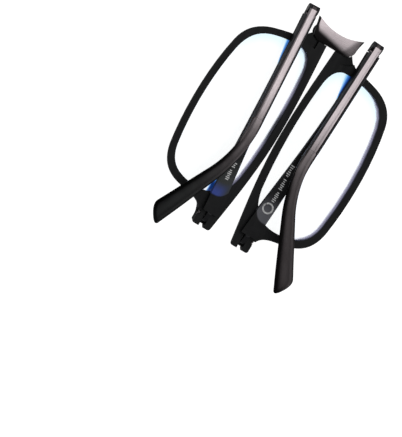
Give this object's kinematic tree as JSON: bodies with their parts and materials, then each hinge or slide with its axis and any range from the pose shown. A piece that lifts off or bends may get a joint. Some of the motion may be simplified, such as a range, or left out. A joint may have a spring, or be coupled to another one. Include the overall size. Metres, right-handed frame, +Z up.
{
  "type": "folding reading glasses",
  "caption": "Folding reading glasses, folded flat: rims pivot on a saddle-shaped bridge, temples fold at the endpieces and again at a middle hinge over the lenses.",
  "frame": {"origin": "middle of the folded glasses' box, on the surface that the fronts of the rims lie on", "axes": "+X across the bridge towards the wearer's left rim, +Y from the endpieces to the nose side of the bridge, +Z up, out of the wearer's side"},
  "size_m": [0.052, 0.072, 0.0127],
  "materials": {
    "black_frame": "satin black moulded nylon",
    "gunmetal": "brushed gunmetal with a warm tint, fading to black",
    "dark_metal": "black plated metal, satin",
    "steel": "turned steel",
    "nylon": "dark nylon",
    "lens": "clear polished lens with a faint blue coating",
    "temple_tip": "satin dark brown-black sleeve"
  },
  "bodies": {
    "bridge": {"bridge_body": "black_frame", "bridge_cover": "gunmetal", "bridge_front_plate": "gunmetal", "bridge_pin_left": "steel", "bridge_pin_right": "steel", "bridge_washer_left": "nylon", "bridge_washer_right": "nylon"},
    "rim_left": {"rim_left": "black_frame", "lens_left": "lens", "hinge_screw_left": "steel"},
    "temple_front_left": {"temple_front_left": "black_frame", "temple_leaf_left": "dark_metal", "middle_fork_left": "dark_metal", "middle_screw_left": "steel"},
    "temple_rear_left": {"temple_rear_left": "dark_metal", "middle_eye_left": "dark_metal", "temple_cover_left": "gunmetal", "temple_tip_left": "temple_tip"},
    "rim_right": {"rim_right": "black_frame", "lens_right": "lens", "hinge_screw_right": "steel"},
    "temple_front_right": {"temple_front_right": "black_frame", "temple_leaf_right": "dark_metal", "middle_fork_right": "dark_metal", "middle_screw_right": "steel"},
    "temple_rear_right": {"temple_rear_right": "dark_metal", "middle_eye_right": "dark_metal", "temple_cover_right": "gunmetal", "temple_tip_right": "temple_tip"}
  },
  "joints": [
    {"name": "bridge_fold_left", "type": "hinge", "parent": "bridge", "child": "rim_left", "pos_m": [0.004, 0.03077, 0], "axis": [0, 0, 1], "range_deg": [0, 90]},
    {"name": "temple_fold_left", "type": "hinge", "parent": "rim_left", "child": "temple_front_left", "pos_m": [0.0061, -0.02803, 0.0027], "axis": [1, 0, 0], "range_deg": [0, 90]},
    {"name": "middle_fold_left", "type": "hinge", "parent": "temple_front_left", "child": "temple_rear_left", "pos_m": [0.0103, 0.03447, 0.00572], "axis": [-0.9986, 0.0523, 0], "range_deg": [0, 176]},
    {"name": "bridge_fold_right", "type": "hinge", "parent": "bridge", "child": "rim_right", "pos_m": [-0.004, 0.03077, 0], "axis": [0, 0, -1], "range_deg": [0, 90]},
    {"name": "temple_fold_right", "type": "hinge", "parent": "rim_right", "child": "temple_front_right", "pos_m": [-0.0061, -0.02803, 0.0027], "axis": [1, 0, 0], "range_deg": [0, 90]},
    {"name": "middle_fold_right", "type": "hinge", "parent": "temple_front_right", "child": "temple_rear_right", "pos_m": [-0.0103, 0.03447, 0.00572], "axis": [-0.9986, -0.0523, 0], "range_deg": [0, 176]}
  ]
}
